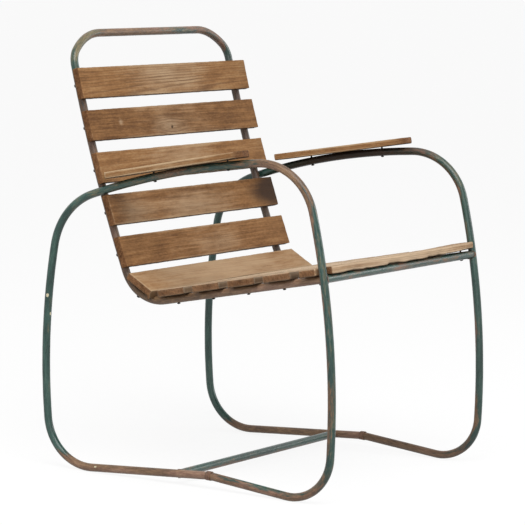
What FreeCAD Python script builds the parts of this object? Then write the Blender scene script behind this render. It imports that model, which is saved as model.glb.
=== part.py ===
import FreeCAD, Part
import math
import os
import Sketcher
from FreeCAD import Placement, Rotation, Vector

# Garden armchair: two tube side loops, one bent tube that is back and seat frame in
# one, wooden slats screwed to it from behind and below, and a wooden board on each arm.
# Millimetres, +Z up, the sitter looks along -Y, the origin is on the floor below the
# middle of the loops. "right" is the sitter's right, at -X. Lengths along Y in the
# sheet are measured from a datum near the middle of the loops. Round bars have flat
# sides, enough of them to look round, and the closed tubes are solid inside.

SIZES = [
    ("tube_dia", 16, "outside diameter of every frame tube"),
    ("loop_spacing", 600, "between the planes of the two side loops"),
    ("touch_gap", 0.3, "root gap between tubes that are welded together"),
    ("front_foot_y", 247, "front floor bend, centre ahead of the datum"),
    ("front_foot_bend", 86, "front floor bend, radius"),
    ("front_top_y", 165, "front arm bend, centre ahead of the datum"),
    ("right_top_z", 522, "front arm bend of the right loop, height of its centre"),
    ("right_top_bend", 116, "front arm bend of the right loop, radius"),
    ("right_arm_bow", 1650, "radius of the arch of the right arm"),
    ("left_top_z", 511, "front arm bend of the left loop, height of its centre"),
    ("left_top_bend", 119.5, "front arm bend of the left loop, radius"),
    ("left_arm_bow", 1415, "radius of the arch of the left arm"),
    ("rear_top_y", 179, "rear arm bend, centre behind the datum"),
    ("rear_top_z", 423.5, "rear arm bend, height of its centre"),
    ("rear_top_bend", 135, "rear arm bend, radius"),
    ("rear_foot_y", 217, "rear floor bend, centre behind the datum"),
    ("rear_foot_bend", 102, "rear floor bend, radius"),
    ("front_leg_bow", 1620, "radius of the slight bow of a front leg"),
    ("rear_leg_bow", 1330, "radius of the slight bow of a rear leg"),
    ("kink_y", 65, "runner joint ahead of the datum"),
    ("kink_z", 26, "height of the raised runner joint"),
    ("runner_gap", 2, "between the two tube ends at the runner joint"),
    ("crossbar_back", 70, "floor crossbar behind the runner joint"),
    ("back_cross_y", 210, "where an upright passes an arm, behind the datum"),
    ("back_recline", 19.5, "lean of an upright where it passes an arm, degrees"),
    ("back_bow", 3400, "radius of the slight bow of an upright"),
    ("seat_bend", 82, "bend from upright to seat rail, radius"),
    ("seat_slope", 11.7, "fall of the seat rails to the rear, degrees"),
    ("corner_tight", 40, "top corner of the back, radius next to the upright"),
    ("corner_loose", 140, "top corner of the back, radius next to the top tube"),
    ("corner_split", 50, "turn of the tight part of a top corner, degrees"),
    ("hand_gap", 64, "open height between top slat and top tube"),
    ("slat_width", 62, "width of every slat"),
    ("slat_thick", 14, "thickness of every slat"),
    ("slat_overhang", 8, "slat end past the plane of the loops"),
    ("wood_ease", 1.5, "bevel on the edges of slats and arm boards"),
    ("back_gap", 23.5, "open height between two back slats"),
    ("clear_above_arm", 5, "between an arm tube and the slat above it"),
    ("clear_below_arm", 3, "between an arm tube and the slat below it"),
    ("wood_gap", 0.3, "between wood and the tube that it lies on"),
    ("bottom_margin", 4.5, "lowest back slat above the seat bend"),
    ("rail_margin", 0.5, "last flat seat slat ahead of the seat bend"),
    ("rear_slat_tilt", 30, "tilt of the seat slat that lies in the bend, degrees"),
    ("front_lip", 13, "front slat ahead of the front leg's axis"),
    ("notch_clear", 5, "front slat's corner notch round a leg"),
    ("board_length", 311, "length of an arm board"),
    ("board_width", 55, "width of an arm board"),
    ("board_thick", 13, "thickness of an arm board"),
    ("board_y", -2, "middle of an arm board's two screws behind the datum"),
    ("right_board_back", 28, "middle of the right arm board behind that of its screws"),
    ("left_board_back", 5, "middle of the left arm board behind that of its screws"),
    ("board_corner", 15, "clipped front corner of an arm board, seen from above"),
    ("board_screws", 170, "between the two screws of an arm board"),
    ("screw_dia", 4, "screw shank"),
    ("screw_bite", 10, "screw shank inside the wood"),
    ("screw_tip_room", 0.5, "blind hole past a screw's end"),
    ("drill_clear", 0.2, "hole in tube or wood round a shank, on the radius"),
    ("head_dia", 7, "round screw head, widest diameter"),
    ("head_crown", 4, "round screw head, diameter of its top"),
    ("head_height", 2.4, "round screw head, height"),
    ("head_seat", 0.1, "between a screw head and its tube"),
    ("weld_bead", 1.5, "weld build-up on a tube"),
    ("runner_bead", 1.5, "weld build-up round a runner joint"),
    ("runner_weld", 12, "length of the weld round a runner joint"),
    ("weld_clear", 0.1, "between a weld and the tubes that it joins"),
]
SLATS_ABOVE_ARM = 3
SLATS_BELOW_ARM = 2
FLAT_SEAT_SLATS = 5
TUBE_SIDES = 12
SCREW_SIDES = 8
SIDES = (("right", -1), ("left", 1))
ACROSS = Vector(1, 0, 0)
UP = Vector(0, 0, 1)

OUTSIDE = "sizes.tube_dia / 2"
COPE = "sizes.tube_dia / 2 + sizes.touch_gap"
WELD_ROOT = "sizes.tube_dia / 2 + sizes.weld_clear"
WELD_TOE = "sizes.tube_dia / 2 + sizes.weld_bead"
DRILL = "sizes.screw_dia / 2 + sizes.drill_clear"
SLAT_LENGTH = "sizes.loop_spacing + 2 * sizes.slat_overhang"

doc = FreeCAD.newDocument("garden_armchair")
sheet = doc.addObject("Spreadsheet::Sheet", "sizes")
for row, (alias, number, meaning) in enumerate(SIZES, 1):
    sheet.set(f"A{row}", meaning)
    sheet.set(f"B{row}", str(number))
    sheet.setAlias(f"B{row}", alias)
doc.recompute()


def size(alias):
    """Value of a driving dimension in the sheet."""
    return float(sheet.get(alias))


TUBE_R = size("tube_dia") / 2
HALF_SPACING = size("loop_spacing") / 2
RAIL_X = HALF_SPACING - size("tube_dia") - size("touch_gap")
SHORT = 4 * size("tube_dia")
parts = []


def node(obj, name):
    """Name a finished sub-part, which also names its file."""
    obj.Label = name
    parts.append(obj)
    return obj


# Plane geometry of the side view, with every point at X = 0


def unit(vector):
    return Vector(vector).normalize()


def left_of(direction):
    """Direction turned a quarter turn to the left, seen from +X."""
    return ACROSS.cross(direction)


def heading(degrees):
    """Unit vector that points to the rear and is turned up by an angle."""
    angle = math.radians(degrees)
    return Vector(0, math.cos(angle), math.sin(angle))


def at_x(point, x):
    """The side view's point, moved to a plane X."""
    return Vector(x, point.y, point.z)


def tangent_point(point, centre, radius, side):
    """Where the line from a point touches a circle, on its left (1) or right (-1)."""
    line = centre - point
    ahead = unit(line)
    back_part = radius * radius / line.Length
    side_part = math.sqrt(radius * radius - back_part * back_part)
    return centre - ahead * back_part + left_of(ahead) * (side * side_part)


def bow_centre(circle, next_circle, radius):
    """Centre of the large arc that runs smoothly from one circle to the next."""
    (centre, bend), (next_centre, next_bend) = circle, next_circle
    reach = radius - bend
    next_reach = radius - next_bend
    line = next_centre - centre
    along = (line.Length ** 2 + reach ** 2 - next_reach ** 2) / (2 * line.Length)
    aside = math.sqrt(reach ** 2 - along ** 2)
    return centre + unit(line) * along - left_of(unit(line)) * aside


def touch(circle, large_centre):
    """Point where a bend passes into the large arc round large_centre."""
    centre, bend = circle
    return centre + unit(centre - large_centre) * bend


# Stretches of a bent tube


def section_placement(point, along):
    """Placement of a round section square to a bar, turned alike on every stretch."""
    side_on = ACROSS if abs(unit(along).dot(ACROSS)) < 0.5 else UP
    return Placement(point + TO_ORIGIN, Rotation(side_on, along.cross(side_on), along, "ZXY"))


def section(name, point, along, radius, sides):
    """Outline of a round section, with its radius given as a sheet expression."""
    outline = doc.addObject("Part::RegularPolygon", name)
    outline.Polygon = sides
    outline.setExpression("Circumradius", radius)
    outline.Placement = section_placement(point, along)
    return outline


def half_rod(name, end, along, length, radius, sides=TUBE_SIDES):
    """Round bar that starts at a point, with its radius given as a sheet expression."""
    bar = doc.addObject("Part::Prism", name)
    bar.Polygon = sides
    bar.setExpression("Circumradius", radius)
    bar.Height = length
    bar.Placement = section_placement(end, along)
    return bar


def rod(name, middle, along, half_length, radius, sides=TUBE_SIDES):
    """Round bar that runs both ways from a point."""
    return half_rod(name, middle - unit(along) * half_length, along, 2 * half_length, radius, sides)


class Run:
    """Straight stretch of tube."""

    def __init__(self, start, end):
        self.start = start
        self.end = end

    def edge(self):
        return Part.makeLine(self.start, self.end)

    def solid(self, name, x, radius):
        length = (self.end - self.start).Length
        return half_rod(name, self.start + ACROSS * x, self.end - self.start, length, radius)


class Bend:
    """Stretch of tube bent round a centre, the short way."""

    def __init__(self, centre, start, end):
        self.centre = centre
        self.start = start
        self.end = end

    def edge(self):
        arms = (self.start - self.centre) + (self.end - self.centre)
        middle = self.centre + unit(arms) * (self.start - self.centre).Length
        return Part.Arc(self.start, middle, self.end).toShape()

    def solid(self, name, x, radius):
        first = self.start - self.centre
        last = self.end - self.centre
        axis = unit(first.cross(last))
        ahead = axis.cross(first)
        bend = doc.addObject("Part::Revolution", name)
        bend.Source = section(name + "_section", self.start + ACROSS * x, ahead, radius, TUBE_SIDES)
        bend.Axis = axis
        bend.Base = self.centre + ACROSS * x + TO_ORIGIN
        bend.Angle = math.degrees(first.getAngle(last))
        bend.Solid = True
        return bend


# Side loops: four bends joined by slightly bowed runs, and a raised joint in the runner.
# They are bent by hand: each has its own front arm bend and its own arch of the arm.


def loop_bend(name, y, z):
    radius = size(name + "_bend")
    return (Vector(0, y, z), radius)


front_foot = loop_bend("front_foot", -size("front_foot_y"), TUBE_R + size("front_foot_bend"))
rear_top = loop_bend("rear_top", size("rear_top_y"), size("rear_top_z"))
rear_foot = loop_bend("rear_foot", size("rear_foot_y"), TUBE_R + size("rear_foot_bend"))
kink = Vector(0, -size("kink_y"), size("kink_z"))

rear_centre = bow_centre(rear_top, rear_foot, size("rear_leg_bow"))
runner_front = tangent_point(kink, *front_foot, 1)
runner_rear = tangent_point(kink, *rear_foot, -1)
front_run = unit(runner_front - kink)
rear_run = unit(runner_rear - kink)


class Loop:
    """One side loop."""

    def __init__(self, label, side):
        self.label = label
        self.x = side * HALF_SPACING
        self.rail_x = side * RAIL_X
        self.inward = ACROSS * -side
        self.front_top = loop_bend(label + "_top", -size("front_top_y"), size(label + "_top_z"))
        self.arm_bow = size(label + "_arm_bow")
        self.leg_centre = bow_centre(front_foot, self.front_top, size("front_leg_bow"))
        self.arm_centre = bow_centre(self.front_top, rear_top, self.arm_bow)

    def stretches(self):
        """The loop from the runner joint over the front leg, the arm and the rear leg."""
        end_gap = size("runner_gap") / 2
        leg_low = touch(front_foot, self.leg_centre)
        leg_high = touch(self.front_top, self.leg_centre)
        arm_front = touch(self.front_top, self.arm_centre)
        arm_rear = touch(rear_top, self.arm_centre)
        rear_high = touch(rear_top, rear_centre)
        rear_low = touch(rear_foot, rear_centre)
        return [
            Run(kink + front_run * end_gap, runner_front),
            Bend(front_foot[0], runner_front, leg_low),
            Bend(self.leg_centre, leg_low, leg_high),
            Bend(self.front_top[0], leg_high, arm_front),
            Bend(self.arm_centre, arm_front, arm_rear),
            Bend(rear_top[0], arm_rear, rear_high),
            Bend(rear_centre, rear_high, rear_low),
            Bend(rear_foot[0], rear_low, runner_rear),
            Run(runner_rear, kink + rear_run * end_gap),
        ]

    def arm_up(self, y):
        """Direction square to the arm, at a distance behind the datum."""
        lean = math.asin((y - self.arm_centre.y) / self.arm_bow)
        return Vector(0, math.sin(lean), math.cos(lean))

    def arm_point(self, y):
        """Point on the arm's axis, at a distance behind the datum."""
        return self.arm_centre + self.arm_up(y) * self.arm_bow

    def leg_point(self, point):
        """Point on the front leg's axis that is next to another point."""
        return self.leg_centre + unit(point - self.leg_centre) * size("front_leg_bow")


loops = [Loop(label, side) for label, side in SIDES]
loop_lines = Part.makeCompound([stretch.edge() for loop in loops for stretch in loop.stretches()])
TO_ORIGIN = Vector(0, -loop_lines.BoundBox.Center.y, 0)


def middle(right_point, left_point):
    """Point half way between the loops' points of one kind."""
    return (right_point + left_point) * 0.5


# Seat and back frame: uprights bowed to the front, a bend, and straight sloping seat rails

BACK_PITCH = size("slat_width") + size("back_gap")
ABOVE_ARM = TUBE_R + size("clear_above_arm")
BELOW_ARM = TUBE_R + size("clear_below_arm")
cross_point = middle(*[loop.arm_point(size("back_cross_y")) for loop in loops])
CROSS_HEADING = 90 - size("back_recline")
upright_centre = cross_point + left_of(heading(CROSS_HEADING)) * size("back_bow")


def upright_heading(rise):
    """Direction of an upright, in degrees, at a distance above the arm crossing."""
    return CROSS_HEADING + math.degrees(rise / size("back_bow"))


def upright_point(rise):
    return upright_centre - left_of(heading(upright_heading(rise))) * size("back_bow")


TOP_SLAT_EDGE = ABOVE_ARM + SLATS_ABOVE_ARM * BACK_PITCH - size("back_gap")
TOP_TUBE_RISE = TOP_SLAT_EDGE + size("hand_gap") + TUBE_R
LOWEST_SLAT_EDGE = size("back_gap") - BELOW_ARM - SLATS_BELOW_ARM * BACK_PITCH
BEND_RISE = LOWEST_SLAT_EDGE - size("bottom_margin")
SPLIT = math.radians(size("corner_split"))
TIGHT_UP = size("corner_tight") * math.sin(SPLIT)
TIGHT_IN = size("corner_tight") * (1 - math.cos(SPLIT))
LOOSE_UP = size("corner_loose") * (1 - math.sin(SPLIT))
LOOSE_IN = size("corner_loose") * math.cos(SPLIT)
CORNER_RISE = TOP_TUBE_RISE - TIGHT_UP - LOOSE_UP

bend_top = upright_point(BEND_RISE)
bend_centre = bend_top + left_of(heading(upright_heading(BEND_RISE))) * size("seat_bend")
rail_heading = heading(-size("seat_slope"))
rail_rear = bend_centre - left_of(rail_heading) * size("seat_bend")


def rail_front_point(loop):
    """Where the seat rail's line meets the axis of a loop's front leg, seen from the side."""
    offset = rail_rear - loop.leg_centre
    along = offset.dot(rail_heading)
    reach = math.sqrt(along ** 2 - offset.dot(offset) + size("front_leg_bow") ** 2)
    return rail_rear - rail_heading * (along + reach)


rail_front = middle(*[rail_front_point(loop) for loop in loops])
RAIL_LENGTH = (rail_rear - rail_front).Length


def frame_half(side):
    """One side of the frame from the front rail to the top tube, and where that begins."""
    x = side * RAIL_X
    up = heading(upright_heading(CORNER_RISE))
    inward = ACROSS * -side
    corner_start = at_x(upright_point(CORNER_RISE), x)
    tight_centre = corner_start + inward * size("corner_tight")
    split_point = corner_start + up * TIGHT_UP + inward * TIGHT_IN
    corner_end = split_point + up * LOOSE_UP + inward * LOOSE_IN
    loose_centre = corner_end - up * size("corner_loose")
    stretches = [
        Run(at_x(rail_front, x), at_x(rail_rear, x)),
        Bend(at_x(bend_centre, x), at_x(rail_rear, x), at_x(bend_top, x)),
        Bend(at_x(upright_centre, x), at_x(bend_top, x), corner_start),
        Bend(tight_centre, corner_start, split_point),
        Bend(loose_centre, split_point, corner_end),
    ]
    return stretches, corner_end


def frame_stretches():
    """The whole frame tube, from one seat rail's front end to the other's."""
    right, right_end = frame_half(-1)
    left, left_end = frame_half(1)
    return right + left + [Run(right_end, left_end)]


# Tubes


def fused(name, pieces):
    result = doc.addObject("Part::MultiFuse", name)
    result.Shapes = pieces
    return result


def compound(name, pieces):
    """Separate solids in one object."""
    result = doc.addObject("Part::Compound", name)
    result.Links = pieces
    return result


def common(name, first, second):
    result = doc.addObject("Part::MultiCommon", name)
    result.Shapes = [first, second]
    return result


def cut(name, base, tools):
    """Base less every tool."""
    result = doc.addObject("Part::Cut", name)
    result.Base = base
    result.Tool = tools[0] if len(tools) == 1 else fused(name + "_tools", tools)
    return result


def bent_tube(name, stretches, x, screws, copes):
    """Bent tube with drilled screw holes and ends coped to other tubes."""
    pieces = [stretch.solid(f"{name}_{n}", x, OUTSIDE) for n, stretch in enumerate(stretches, 1)]
    drills = [screw.drill for screw in screws]
    return node(cut(name + "_tube", fused(name + "_bar", pieces), copes + drills), name)


def straight_tube(name, point, copes):
    """Tube across the chair between the two loops, coped to them at both ends."""
    bar = rod(name + "_bar", point, ACROSS, HALF_SPACING, OUTSIDE)
    return node(cut(name + "_tube", bar, copes), name)


# Screws: the head lies on the far side of the tube and the shank ends inside the wood


class Screw:
    """Screw across a tube and into wood that stands off the tube's axis by a lift."""

    def __init__(self, name, tube, axis, lift):
        self.name = name
        self.axis = unit(axis)
        self.seat_depth = TUBE_R + size("head_seat")
        self.seat = tube - self.axis * self.seat_depth
        self.length = self.seat_depth + lift + size("screw_bite")
        hole_length = self.length + size("screw_tip_room")
        self.drill = half_rod(name + "_drill", self.seat, self.axis, hole_length, DRILL, SCREW_SIDES)

    def solid(self):
        """Shank and domed head of the screw as one solid."""
        shank = half_rod(self.name + "_shank", self.seat, self.axis, self.length,
                         "sizes.screw_dia / 2", SCREW_SIDES)
        head = doc.addObject("Part::Loft", self.name + "_head")
        head.Sections = [
            section(self.name + "_rim", self.seat, self.axis, "sizes.head_dia / 2", SCREW_SIDES),
            section(self.name + "_crown", self.seat - self.axis * size("head_height"), self.axis,
                    "sizes.head_crown / 2", SCREW_SIDES),
        ]
        head.Solid = True
        head.Ruled = True
        return fused(self.name, [shank, head])


def screw_group(name, screws):
    """Separate identical screws as one node."""
    return node(compound(name + "_set", [screw.solid() for screw in screws]), name)


# Planks: length along local X, width along local Y, thickness up local Z from the tube side


def new_sketch(body, name):
    """Sketch on the body's XY plane, where the plank's tube side lies."""
    base_plane = next(item for item in body.Origin.OriginFeatures if item.Role == "XY_Plane")
    sketch = body.newObject("Sketcher::SketchObject", name)
    sketch.AttachmentSupport = [(base_plane, "")]
    sketch.MapMode = "FlatFace"
    return sketch


def bind(sketch, constraint, expression):
    """Add a constraint whose value follows the sheet."""
    number = sketch.addConstraint(constraint)
    sketch.setExpression(f"Constraints[{number}]", expression)


def rectangle(sketch, low, high):
    """Four joined lines, level and upright, whose first corner is low and third is high."""
    corners = [low, Vector(high.x, low.y, 0), high, Vector(low.x, high.y, 0)]
    first = sketch.GeometryCount
    for number in range(4):
        sketch.addGeometry(Part.LineSegment(corners[number], corners[(number + 1) % 4]))
    for number in range(4):
        line = first + number
        sketch.addConstraint(Sketcher.Constraint("Coincident", line, 2, first + (number + 1) % 4, 1))
        sketch.addConstraint(Sketcher.Constraint("Vertical" if number % 2 else "Horizontal", line))
    return first


def plank_blank(body, name, length, width, thick):
    """Pad of a centred rectangle, sized by three sheet expressions."""
    sketch = new_sketch(body, name + "_outline")
    half = Vector(HALF_SPACING, SHORT, 0)
    first = rectangle(sketch, half * -1, half)
    sketch.addConstraint(Sketcher.Constraint("Symmetric", first, 1, first + 1, 2, -1, 1))
    bind(sketch, Sketcher.Constraint("DistanceX", first, 1, first, 2, 2 * half.x), length)
    bind(sketch, Sketcher.Constraint("DistanceY", first + 1, 1, first + 1, 2, 2 * half.y), width)
    pad = body.newObject("PartDesign::Pad", name + "_pad")
    pad.Profile = sketch
    pad.setExpression("Length", thick)
    doc.recompute()
    return pad


def chamfer(body, name, base, expression, chosen):
    """Chamfer on the chosen edges of the body's last feature."""
    feature = body.newObject("PartDesign::Chamfer", name)
    feature.Base = (base, [f"Edge{n}" for n, edge in enumerate(base.Shape.Edges, 1) if chosen(edge)])
    feature.setExpression("Size", expression)
    doc.recompute()
    return feature


def is_upright(edge):
    """True for an edge through the plank's thickness."""
    return abs(edge.tangentAt(edge.FirstParameter).z) > 0.5


def is_front_corner(edge):
    """True for an edge through the thickness at the end that local X points to."""
    return is_upright(edge) and edge.CenterOfMass.x > 0


def is_rim(edge):
    return not is_upright(edge)


def is_top_rim(edge):
    return is_rim(edge) and edge.CenterOfMass.z > 0


def pocket(body, name, sketch, depth):
    """Cut a sketch into the plank from its tube side, to a depth given as a sheet expression."""
    doc.recompute()
    before = body.Shape.Volume
    feature = body.newObject("PartDesign::Pocket", name)
    feature.Profile = sketch
    feature.Reversed = True
    feature.setExpression("Length", depth)
    doc.recompute()
    if body.Shape.Volume >= before:
        raise RuntimeError(f"{name} removed nothing")
    return feature


def corner_notches(body, name):
    """Both front corners of the slat cut away round the front legs."""
    sketch = new_sketch(body, name + "_notches")
    inner_x = HALF_SPACING - TUBE_R - size("notch_clear")
    outer_x = HALF_SPACING + size("slat_overhang") + SHORT
    front_y = -size("slat_width") / 2 - SHORT
    back_y = -size("slat_width") / 2 + size("front_lip") + TUBE_R + size("notch_clear")
    rectangle(sketch, Vector(inner_x, front_y, 0), Vector(outer_x, back_y, 0))
    rectangle(sketch, Vector(-outer_x, front_y, 0), Vector(-inner_x, back_y, 0))
    return pocket(body, name + "_notched", sketch, "sizes.slat_thick")


def drilled(body, name, placement, screws):
    """Finished plank in its place, with a blind hole for each screw."""
    body.Placement = placement
    return node(cut(name + "_drilled", body, [screw.drill for screw in screws]), name)


def slat(name, placement, screws, is_front):
    """Slat with eased edges, and with notched corners if it is the front one."""
    body = doc.addObject("PartDesign::Body", name + "_body")
    blank = plank_blank(body, name, SLAT_LENGTH, "sizes.slat_width", "sizes.slat_thick")
    if is_front:
        blank = corner_notches(body, name)
    chamfer(body, name + "_eased", blank, "sizes.wood_ease", is_rim)
    return drilled(body, name, placement, screws)


def arm_board(name, placement, screws):
    """Board with clipped front corners and an eased top."""
    body = doc.addObject("PartDesign::Body", name + "_body")
    blank = plank_blank(body, name, "sizes.board_length", "sizes.board_width", "sizes.board_thick")
    clipped = chamfer(body, name + "_corners", blank, "sizes.board_corner", is_front_corner)
    chamfer(body, name + "_eased", clipped, "sizes.wood_ease", is_top_rim)
    return drilled(body, name, placement, screws)


def plank_placement(seat, along, up):
    """Placement whose local X runs along the plank and local Z out of its top face."""
    return Placement(seat + TO_ORIGIN, Rotation(along, up.cross(along), up, "ZXY"))


# Where the wood lies: tube point, heading of the tube there and lift of the wood off its axis

LIE = TUBE_R + size("wood_gap")


def back_slat_seats():
    """Seats of the back slats from the top down."""
    half = size("slat_width") / 2
    rises = [ABOVE_ARM + half + BACK_PITCH * step for step in reversed(range(SLATS_ABOVE_ARM))]
    rises += [-BELOW_ARM - half - BACK_PITCH * step for step in range(SLATS_BELOW_ARM)]
    return [(upright_point(rise), heading(upright_heading(rise)), LIE) for rise in rises]


def seat_slat_seats():
    """Seats of the seat slats from the rear one, which lies as a chord in the bend."""
    half = size("slat_width") / 2
    inner = size("seat_bend") - LIE
    tilt = heading(size("rear_slat_tilt"))
    bend_point = bend_centre - left_of(tilt) * size("seat_bend")
    chord_lift = size("seat_bend") - math.sqrt(inner ** 2 - half ** 2)
    front = half - size("front_lip")
    rear = RAIL_LENGTH - half - size("rail_margin")
    pitch = (rear - front) / (FLAT_SEAT_SLATS - 1)
    flat = [(rail_front + rail_heading * (front + pitch * step), rail_heading, LIE)
            for step in reversed(range(FLAT_SEAT_SLATS))]
    return [(bend_point, tilt, chord_lift)] + flat


def slat_screws(name, seat):
    """A screw across each rail for a slat."""
    point, along, lift = seat
    return [Screw(f"{name}_{label}_screw", at_x(point, side * RAIL_X), left_of(along), lift)
            for label, side in SIDES]


def board_directions(loop):
    """Directions to the front and up of an arm board, which touches the arm between its screws."""
    up = loop.arm_up(size("board_y"))
    return left_of(up), up


def board_placement(loop):
    forward, up = board_directions(loop)
    between_screws = loop.arm_point(size("board_y")) + up * LIE
    seat = between_screws - forward * size(loop.label + "_board_back")
    return plank_placement(at_x(seat, loop.x), forward, up)


def board_screws(loop):
    """Screws of an arm board, square to the arched tube that they cross."""
    forward, up = board_directions(loop)
    turn = math.asin(size("board_screws") / 2 / loop.arm_bow)
    lift = (loop.arm_bow + LIE) / math.cos(turn) - loop.arm_bow
    screws = []
    for end, step in (("front", 1), ("rear", -1)):
        axis = up * math.cos(turn) + forward * (step * math.sin(turn))
        tube = at_x(loop.arm_centre + axis * loop.arm_bow, loop.x)
        screws.append(Screw(f"{loop.label}_{end}_board_screw", tube, axis, lift))
    return screws


# Welds: the build-up where two fat tubes meet, less the tubes themselves

crossbar_point = kink + rear_run * size("crossbar_back")


def leg_rod(name, loop, radius):
    """Straight bar along a front leg where the front rail meets it."""
    leg_direction = left_of(unit(rail_front - loop.leg_centre))
    return rod(name, at_x(loop.leg_point(rail_front), loop.x), leg_direction, SHORT, radius)


def runner_rod(name, loop, radius):
    return rod(name, at_x(crossbar_point, loop.x), rear_run, SHORT, radius)


def crossbar_weld(loop):
    """Bead of the floor crossbar on its runner."""
    name = f"{loop.label}_crossbar_weld"
    end = at_x(crossbar_point, loop.x)
    fat = common(name + "_fat", half_rod(name + "_bar", end, loop.inward, SHORT, WELD_TOE),
                 runner_rod(name + "_runner", loop, WELD_TOE))
    return cut(name, fat, [half_rod(name + "_bar_root", end, loop.inward, SHORT, WELD_ROOT),
                           runner_rod(name + "_runner_root", loop, WELD_ROOT)])


def front_corner_weld(loop):
    """Beads of the front rail on its leg and of the seat rail on the front rail, under the seat."""
    name = f"{loop.label}_front_weld"
    end = at_x(rail_front, loop.x)
    rail_end = at_x(rail_front, loop.rail_x)
    on_leg = common(name + "_on_leg", half_rod(name + "_rail", end, loop.inward, SHORT, WELD_TOE),
                    leg_rod(name + "_leg", loop, WELD_TOE))
    on_rail = common(name + "_on_rail", half_rod(name + "_side", rail_end, rail_heading, SHORT, WELD_TOE),
                     half_rod(name + "_cross", end, loop.inward, SHORT, WELD_TOE))
    lid = doc.addObject("Part::Box", name + "_lid")
    lid.Length = lid.Width = lid.Height = SHORT
    seat_up = left_of(rail_heading)
    lid_corner = rail_end + seat_up * TUBE_R - (rail_heading + ACROSS) * (SHORT / 2)
    lid.Placement = plank_placement(lid_corner, ACROSS, seat_up)
    return cut(name, fused(name + "_both", [on_leg, on_rail]),
               [half_rod(name + "_rail_root", end, loop.inward, SHORT, WELD_ROOT),
                half_rod(name + "_side_root", rail_end, rail_heading, SHORT, WELD_ROOT),
                leg_rod(name + "_leg_root", loop, WELD_ROOT), lid])


def arm_weld(loop):
    """Bead where an upright passes an arm."""
    name = f"{loop.label}_arm_weld"
    upright = at_x(cross_point, loop.rail_x)
    up = heading(CROSS_HEADING)
    arm = at_x(loop.arm_point(size("back_cross_y")), loop.x)
    arm_direction = left_of(loop.arm_up(size("back_cross_y")))
    fat = common(name + "_fat", rod(name + "_upright", upright, up, SHORT, WELD_TOE),
                 rod(name + "_arm", arm, arm_direction, SHORT, WELD_TOE))
    return cut(name, fat, [rod(name + "_upright_root", upright, up, SHORT, WELD_ROOT),
                           rod(name + "_arm_root", arm, arm_direction, SHORT, WELD_ROOT)])


def runner_weld(loop):
    """Bead round and between the two tube ends at the raised runner joint."""
    name = f"{loop.label}_runner_weld"
    joint = at_x(kink, loop.x)
    ring = rod(name + "_ring", joint, rear_run - front_run, size("runner_weld") / 2,
               "sizes.tube_dia / 2 + sizes.runner_bead")
    end_gap = size("runner_gap") / 2 - size("weld_clear")
    return cut(name, ring, [half_rod(f"{name}_root_{n}", joint + run * end_gap, run, SHORT, WELD_ROOT)
                            for n, run in enumerate((front_run, rear_run), 1)])


def weld_pair(name, weld):
    """Right and left weld of one kind as one node."""
    return node(compound(name + "_pair", [weld(loop) for loop in loops]), name)


# Assembly

tube_screws = {"back": [], "seat": [], "arm": []}

for kind, seats in (("back", back_slat_seats()), ("seat", seat_slat_seats())):
    for number, (point, along, lift) in enumerate(seats, 1):
        name = f"{kind}_slat_{number}"
        up = left_of(along)
        screws = slat_screws(name, (point, along, lift))
        is_front = kind == "seat" and number == len(seats)
        slat(name, plank_placement(point + up * lift, ACROSS, up), screws, is_front)
        tube_screws[kind] += screws
for loop in loops:
    screws = board_screws(loop)
    arm_board(f"{loop.label}_arm_board", board_placement(loop), screws)
    bent_tube(f"{loop.label}_side_loop", loop.stretches(), loop.x, screws, [])
    tube_screws["arm"] += screws

front_cope = rod("seat_rail_cope", rail_front, ACROSS, HALF_SPACING, COPE)
bent_tube("seat_back_frame", frame_stretches(), 0, tube_screws["back"] + tube_screws["seat"], [front_cope])
straight_tube("front_rail", rail_front, [leg_rod(f"{loop.label}_leg_cope", loop, COPE) for loop in loops])
straight_tube("floor_crossbar", crossbar_point,
              [runner_rod(f"{loop.label}_runner_cope", loop, COPE) for loop in loops])

screw_group("back_slat_screws", tube_screws["back"])
screw_group("seat_slat_screws", tube_screws["seat"])
screw_group("arm_board_screws", tube_screws["arm"])
weld_pair("crossbar_welds", crossbar_weld)
weld_pair("front_corner_welds", front_corner_weld)
weld_pair("arm_welds", arm_weld)
weld_pair("runner_welds", runner_weld)

# Check and write

doc.recompute()
broken = [obj.Label for obj in doc.Objects if "Invalid" in obj.State or "Error" in obj.State]
broken += [obj.Label for obj in parts if obj.Shape.isNull() or not obj.Shape.isValid()]
if broken:
    raise RuntimeError("failed objects: " + ", ".join(broken))
os.makedirs("parts", exist_ok=True)
for obj in parts:
    obj.Shape.exportStep(f"parts/{obj.Label}.step")
    print(f"{obj.Label}: {len(obj.Shape.Solids)} solids, {obj.Shape.Volume:.0f} mm3")
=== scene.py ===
from collections import namedtuple
from math import asin, copysign, cos, exp, hypot, pi, radians, sin, sqrt

import bmesh
import bpy
import numpy as np
from mathutils import Matrix, Quaternion, Vector, noise


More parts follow.
